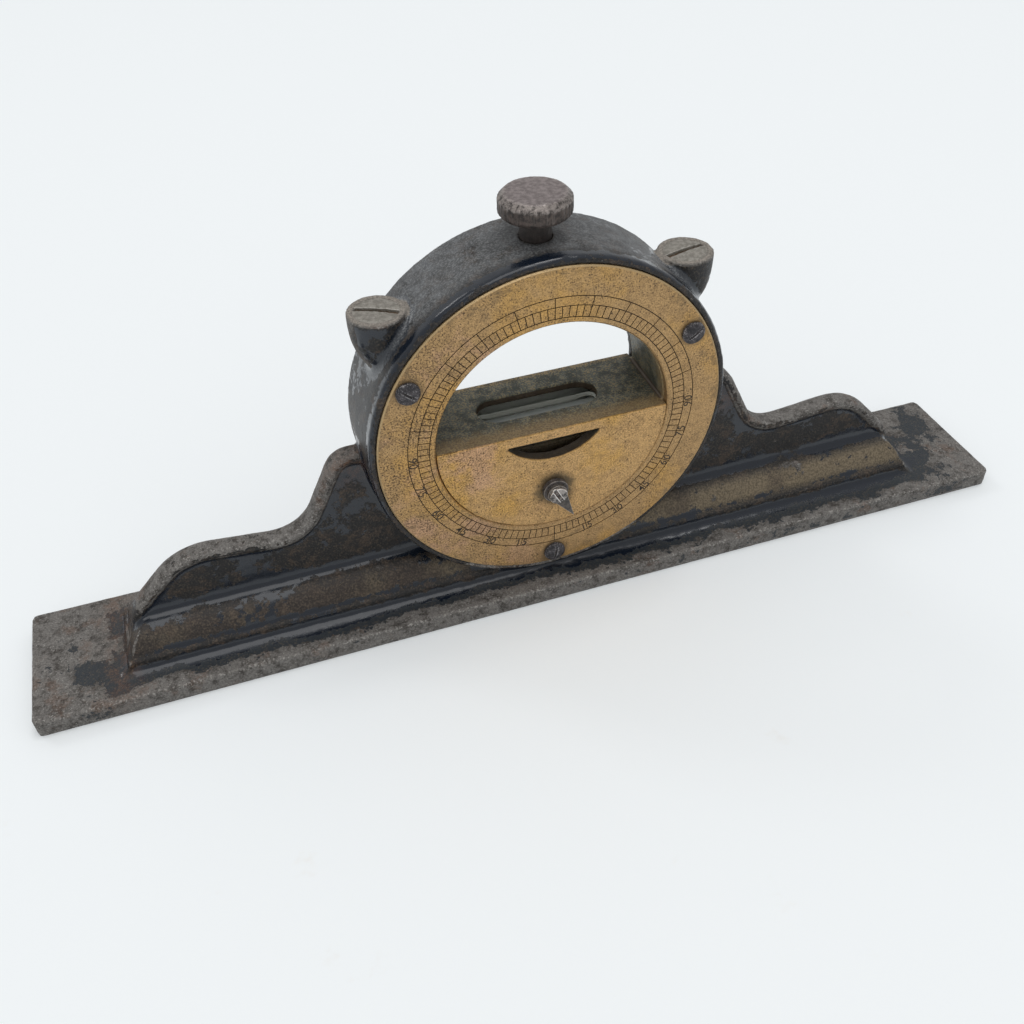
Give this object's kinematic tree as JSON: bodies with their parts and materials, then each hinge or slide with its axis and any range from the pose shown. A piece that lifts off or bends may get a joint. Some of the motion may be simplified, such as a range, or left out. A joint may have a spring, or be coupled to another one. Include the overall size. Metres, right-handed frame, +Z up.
{
  "type": "bench inclinometer",
  "caption": "Cast-iron inclinometer with a long flat sole, ogee wings and a round ring, in which a brass drum with a spirit level turns behind an engraved dial and is clamped by a thumb screw.",
  "frame": {"origin": "middle of the sole's underside", "axes": "+X along the sole, to the right of someone reading the dial; the dial faces -Y; +Z up"},
  "size_m": [0.254, 0.0348, 0.1015],
  "materials": {
    "japanned_iron": "black japan, worn to brown iron on the edges and the sole",
    "dial_brass": "aged brass, pitted, engraved",
    "drum_brass": "aged brass, tarnished greenish on the level plate",
    "case_brass": "dull brass",
    "dark_steel": "darkened steel, worn bright on the edges",
    "worn_steel": "worn bare steel with rust in the slots",
    "vial_glass": "clear glass",
    "spirit": "clear liquid, slightly yellow",
    "plaster": "matte plaster"
  },
  "bodies": {
    "root": {"body_casting": "japanned_iron", "dial_plate": "dial_brass", "dial_screws": "dark_steel", "lug_screw_left": "worn_steel", "lug_screw_right": "worn_steel"},
    "drum": {"level_drum": "drum_brass", "back_cover": "drum_brass", "cover_screws": "dark_steel", "vial_case": "case_brass", "case_cap_left": "case_brass", "case_cap_right": "case_brass", "case_screw_left": "dark_steel", "case_screw_right": "dark_steel", "vial_glass": "vial_glass", "vial_spirit": "spirit", "bedding_left": "plaster", "bedding_right": "plaster", "pointer_collar": "dark_steel", "pointer_screw": "worn_steel"},
    "pointer": {"index_pointer": "dark_steel"},
    "shoe": {"clamp_shoe": "case_brass"},
    "knob": {"clamp_knob": "worn_steel"}
  },
  "joints": [
    {"name": "drum_turn", "type": "hinge", "parent": "root", "child": "drum", "pos_m": [0, 0, 0.0491], "axis": [0, 1, 0], "continuous": true},
    {"name": "pointer_turn", "type": "hinge", "parent": "drum", "child": "pointer", "pos_m": [0, -0.01345, 0.032], "axis": [0, 1, 0], "continuous": true},
    {"name": "shoe_slide", "type": "slide", "parent": "root", "child": "shoe", "axis": [0, 0, 1], "range_m": [-0.00025, 0.002]},
    {"name": "knob_turn", "type": "hinge", "parent": "shoe", "child": "knob", "pos_m": [0, 0, 0.09], "axis": [0, 0, 1], "range_deg": [-70, 560]}
  ],
  "couplings": [
    {"joint": "shoe_slide", "follows": "knob_turn", "m_per_rad": 0.00020213}
  ]
}
